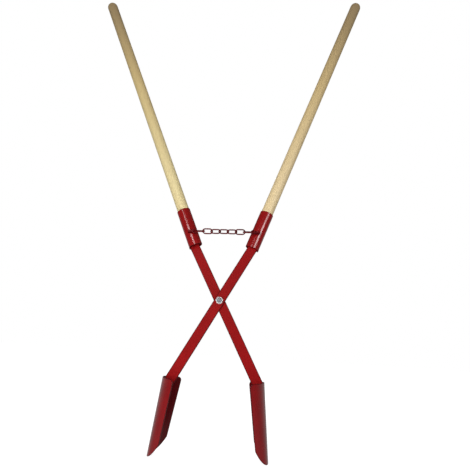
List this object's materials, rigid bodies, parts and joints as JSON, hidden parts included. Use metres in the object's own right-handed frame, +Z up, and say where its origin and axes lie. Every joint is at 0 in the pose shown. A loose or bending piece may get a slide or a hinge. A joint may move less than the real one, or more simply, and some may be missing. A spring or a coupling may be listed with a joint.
{
  "type": "post hole digger",
  "caption": "Scissor post hole digger: two crossed steel levers with wooden handles and curved blades on one pivot bolt, with a chain that limits the opening.",
  "frame": {"origin": "middle of the pivot, on the bolt's axis and midway between the two flat bars", "axes": "+X right and +Z up as seen from the front, where the chain and the nut are; +Y to the back, along the pivot bolt"},
  "size_m": [0.9944, 0.1478, 1.5969],
  "materials": {
    "handle_wood": "pale turned wood, lightly varnished, fine lengthwise grain",
    "red_enamel": "glossy red enamel over steel, slightly uneven",
    "chain_red": "dark red enamel over steel wire",
    "zinc": "bright zinc plate",
    "nylon": "blue-grey nylon"
  },
  "bodies": {
    "pivot": {"pivot_bolt": "zinc", "pivot_nut": "zinc", "nut_insert": "nylon", "front_washer": "zinc", "rear_washer": "zinc"},
    "front_lever": {"front_bar": "red_enamel", "right_socket": "red_enamel", "right_handle": "handle_wood", "right_handle_screw": "zinc", "right_socket_weld": "red_enamel", "right_chain_lug": "red_enamel", "right_lug_weld": "red_enamel", "left_blade": "red_enamel", "left_blade_weld": "red_enamel"},
    "rear_lever": {"rear_bar": "red_enamel", "left_socket": "red_enamel", "left_handle": "handle_wood", "left_handle_screw": "zinc", "left_socket_weld": "red_enamel", "left_chain_lug": "red_enamel", "left_lug_weld": "red_enamel", "right_blade": "red_enamel", "right_blade_weld": "red_enamel"},
    "chain_link_1": {"chain_link_1": "chain_red"},
    "chain_link_2": {"chain_link_2": "chain_red"},
    "chain_link_3": {"chain_link_3": "chain_red"},
    "chain_link_4": {"chain_link_4": "chain_red"},
    "chain_link_5": {"chain_link_5": "chain_red"},
    "chain_link_6": {"chain_link_6": "chain_red"},
    "chain_link_7": {"chain_link_7": "chain_red"}
  },
  "joints": [
    {"name": "rear_lever_turn", "type": "hinge", "parent": "pivot", "child": "rear_lever", "pos_m": [0, 0, 0], "axis": [0, 1, 0], "range_deg": [0, 17.5]},
    {"name": "front_lever_turn", "type": "hinge", "parent": "pivot", "child": "front_lever", "pos_m": [0, 0, 0], "axis": [0, 1, 0], "range_deg": [-17.5, 0]},
    {"name": "chain_link_1_swing", "type": "hinge", "parent": "rear_lever", "child": "chain_link_1", "pos_m": [-0.08958, -0.0304, 0.20795], "axis": [0, 1, 0], "range_deg": [0, 54.51]},
    {"name": "chain_link_2_swing", "type": "hinge", "parent": "chain_link_1", "child": "chain_link_2", "pos_m": [-0.06209, -0.0304, 0.21848], "axis": [0, 1, 0], "range_deg": [0, 41.59]},
    {"name": "chain_link_3_swing", "type": "hinge", "parent": "chain_link_2", "child": "chain_link_3", "pos_m": [-0.03582, -0.0304, 0.2005], "axis": [0, 1, 0], "range_deg": [-68.96, 0]},
    {"name": "chain_link_4_swing", "type": "hinge", "parent": "chain_link_3", "child": "chain_link_4", "pos_m": [-0.01353, -0.0304, 0.20334], "axis": [0, 1, 0], "range_deg": [-44.77, 0]},
    {"name": "chain_link_7_swing", "type": "hinge", "parent": "front_lever", "child": "chain_link_7", "pos_m": [0.09012, -0.0304, 0.21174], "axis": [0, 1, 0], "range_deg": [-58, 0]},
    {"name": "chain_link_6_swing", "type": "hinge", "parent": "chain_link_7", "child": "chain_link_6", "pos_m": [0.06197, -0.0304, 0.22053], "axis": [0, 1, 0], "range_deg": [-39.69, 0]},
    {"name": "chain_link_5_swing", "type": "hinge", "parent": "chain_link_6", "child": "chain_link_5", "pos_m": [0.03622, -0.0304, 0.20284], "axis": [0, 1, 0], "range_deg": [0, 68.86]}
  ],
  "couplings": [
    {"joint": "front_lever_turn", "follows": "rear_lever_turn", "ratio": -1},
    {"joint": "chain_link_1_swing", "follows": "rear_lever_turn", "ratio": 3.1148},
    {"joint": "chain_link_2_swing", "follows": "rear_lever_turn", "ratio": 2.3767},
    {"joint": "chain_link_3_swing", "follows": "rear_lever_turn", "ratio": -3.9404},
    {"joint": "chain_link_4_swing", "follows": "rear_lever_turn", "ratio": -2.5582},
    {"joint": "chain_link_7_swing", "follows": "rear_lever_turn", "ratio": -3.3143},
    {"joint": "chain_link_6_swing", "follows": "rear_lever_turn", "ratio": -2.2678},
    {"joint": "chain_link_5_swing", "follows": "rear_lever_turn", "ratio": 3.9349}
  ]
}
